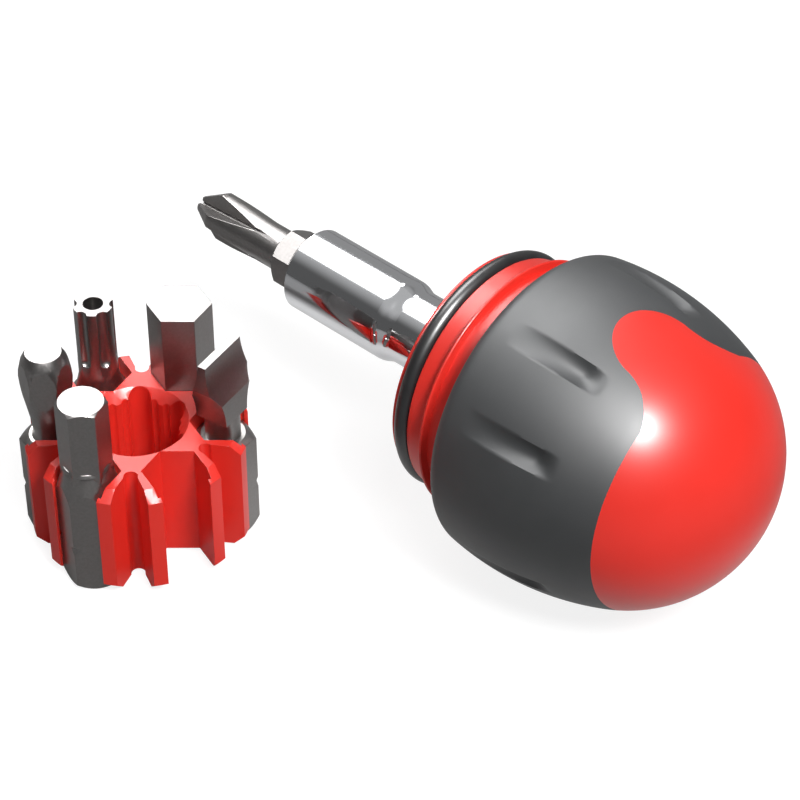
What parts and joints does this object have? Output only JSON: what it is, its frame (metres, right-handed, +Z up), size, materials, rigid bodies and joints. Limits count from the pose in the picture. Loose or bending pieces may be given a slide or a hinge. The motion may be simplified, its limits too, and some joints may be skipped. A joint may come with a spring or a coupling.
{
  "type": "ratcheting screwdriver",
  "caption": "Stubby ratcheting screwdriver with a red ball handle, dark grip, selector collar and chrome chuck, lying beside its round carousel of hex-shank bits.",
  "frame": {"origin": "centre of the base of the whole set's box, on the plane that the ball handle and the carousel stand on", "axes": "+Z up, the driver's axis level along X with the bit's tip towards -X and the ball's end towards +X, the carousel on the -Y side"},
  "size_m": [0.082, 0.0609, 0.0365],
  "materials": {
    "red_plastic": "glossy moulded red",
    "grey_grip": "satin dark grey soft grip",
    "chrome": "polished chrome plating",
    "bit_steel": "blasted warm grey tool steel",
    "screw_steel": "plain machined steel",
    "bush_brass": "plain turned brass",
    "black_rubber": "matt black rubber"
  },
  "bodies": {
    "handle": {"handle_shell": "red_plastic", "grip_sleeve": "grey_grip", "bit_carousel": "red_plastic"},
    "module": {"ratchet_housing": "red_plastic", "front_cover": "red_plastic", "cover_screws": "screw_steel", "front_bush": "bush_brass", "rear_bush": "bush_brass", "pawl_pin": "screw_steel", "detent_ball": "screw_steel", "detent_spring": "screw_steel", "post_ring": "black_rubber"},
    "selector": {"selector_ring": "red_plastic", "o_ring": "black_rubber", "shift_plunger": "screw_steel", "plunger_spring": "screw_steel"},
    "drive": {"spindle": "chrome", "ratchet_gear": "screw_steel", "spindle_clip": "screw_steel", "bit_magnet": "screw_steel", "bit_clip": "screw_steel"},
    "pawl": {"rocker_pawl": "screw_steel"},
    "chuck_bit": {"cross_bit": "bit_steel"},
    "hex_bit_body": {"hex_bit": "bit_steel"},
    "ball_hex_bit_body": {"ball_hex_bit": "bit_steel"},
    "star_bit_body": {"star_bit": "bit_steel"},
    "wide_hex_bit_body": {"wide_hex_bit": "bit_steel"},
    "slotted_bit_body": {"slotted_bit": "bit_steel"}
  },
  "joints": [
    {"name": "handle_pull", "type": "slide", "parent": "handle", "child": "module", "axis": [-1, 0, 0], "range_m": [0, 0.045]},
    {"name": "selector_turn", "type": "hinge", "parent": "module", "child": "selector", "pos_m": [0.0102, 0.01239, 0.01825], "axis": [-1, 0, 0], "range_deg": [-20, 20]},
    {"name": "spindle_spin", "type": "hinge", "parent": "module", "child": "drive", "pos_m": [0.0102, 0.01239, 0.01825], "axis": [-1, 0, 0], "continuous": true},
    {"name": "pawl_rock", "type": "hinge", "parent": "module", "child": "pawl", "pos_m": [0.0102, 0.01239, 0.02745], "axis": [-1, 0, 0], "range_deg": [-6.5, 6.5]},
    {"name": "bit_pull", "type": "slide", "parent": "drive", "child": "chuck_bit", "axis": [-1, 0, 0], "range_m": [0, 0.03]},
    {"name": "hex_bit_lift", "type": "slide", "parent": "handle", "child": "hex_bit_body", "axis": [0, 0, 1], "range_m": [0, 0.03]},
    {"name": "ball_hex_bit_lift", "type": "slide", "parent": "handle", "child": "ball_hex_bit_body", "axis": [0, 0, 1], "range_m": [0, 0.03]},
    {"name": "star_bit_lift", "type": "slide", "parent": "handle", "child": "star_bit_body", "axis": [0, 0, 1], "range_m": [0, 0.03]},
    {"name": "wide_hex_bit_lift", "type": "slide", "parent": "handle", "child": "wide_hex_bit_body", "axis": [0, 0, 1], "range_m": [0, 0.03]},
    {"name": "slotted_bit_lift", "type": "slide", "parent": "handle", "child": "slotted_bit_body", "axis": [0, 0, 1], "range_m": [0, 0.03]}
  ],
  "couplings": [
    {"joint": "pawl_rock", "follows": "selector_turn", "ratio": 0.24}
  ]
}
